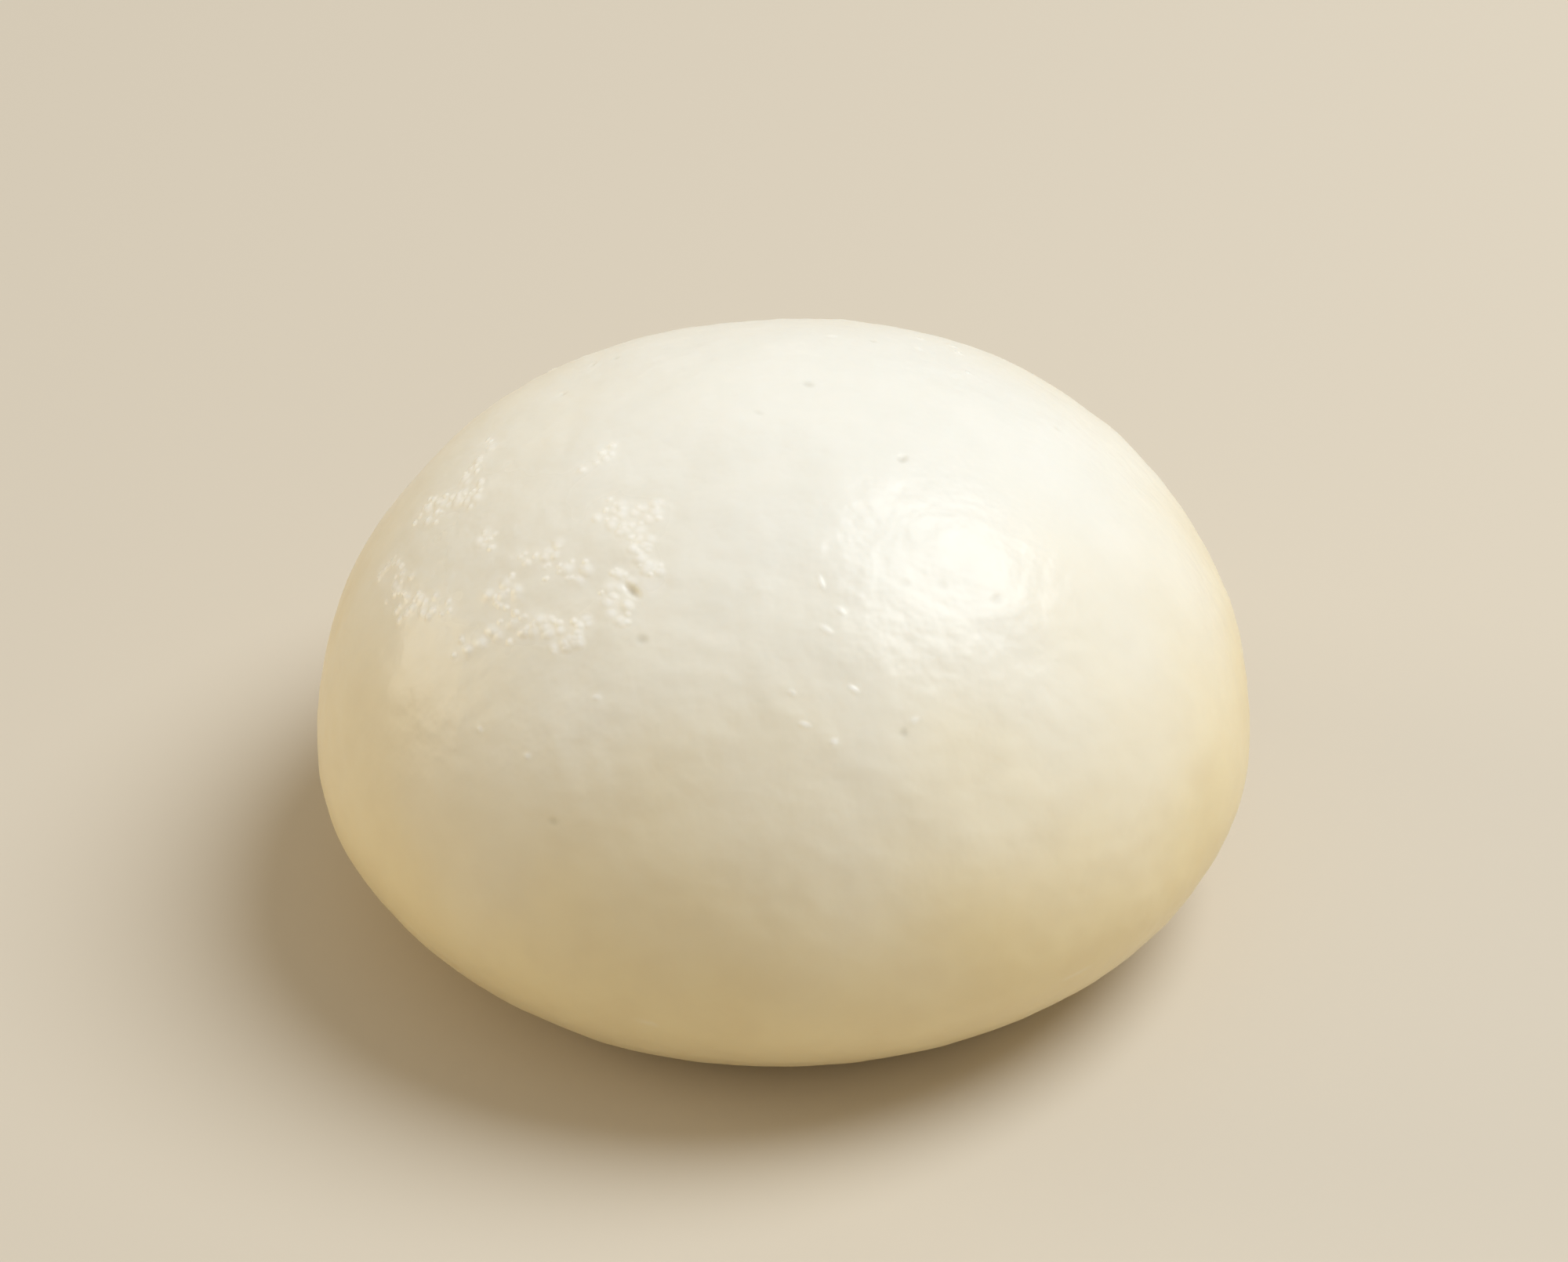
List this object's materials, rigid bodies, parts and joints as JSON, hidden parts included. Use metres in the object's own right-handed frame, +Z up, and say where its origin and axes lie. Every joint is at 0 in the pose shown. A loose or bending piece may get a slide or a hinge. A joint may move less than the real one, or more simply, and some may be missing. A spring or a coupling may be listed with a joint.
{
  "type": "steamed bun",
  "caption": "Round, low-domed steamed bun of soft white dough, smooth on top, widest low on its side and flat underneath.",
  "frame": {"origin": "middle of the flat foot that the bun rests on", "axes": "+Z up through the crown; -Y is the side shown to the viewer; X runs across it, left to right"},
  "size_m": [0.0606, 0.0596, 0.0363],
  "materials": {
    "dough_skin": "soft off-white steamed dough with a dull, faintly moist shine"
  },
  "bodies": {
    "root": {"bun": "dough_skin"}
  },
  "joints": []
}
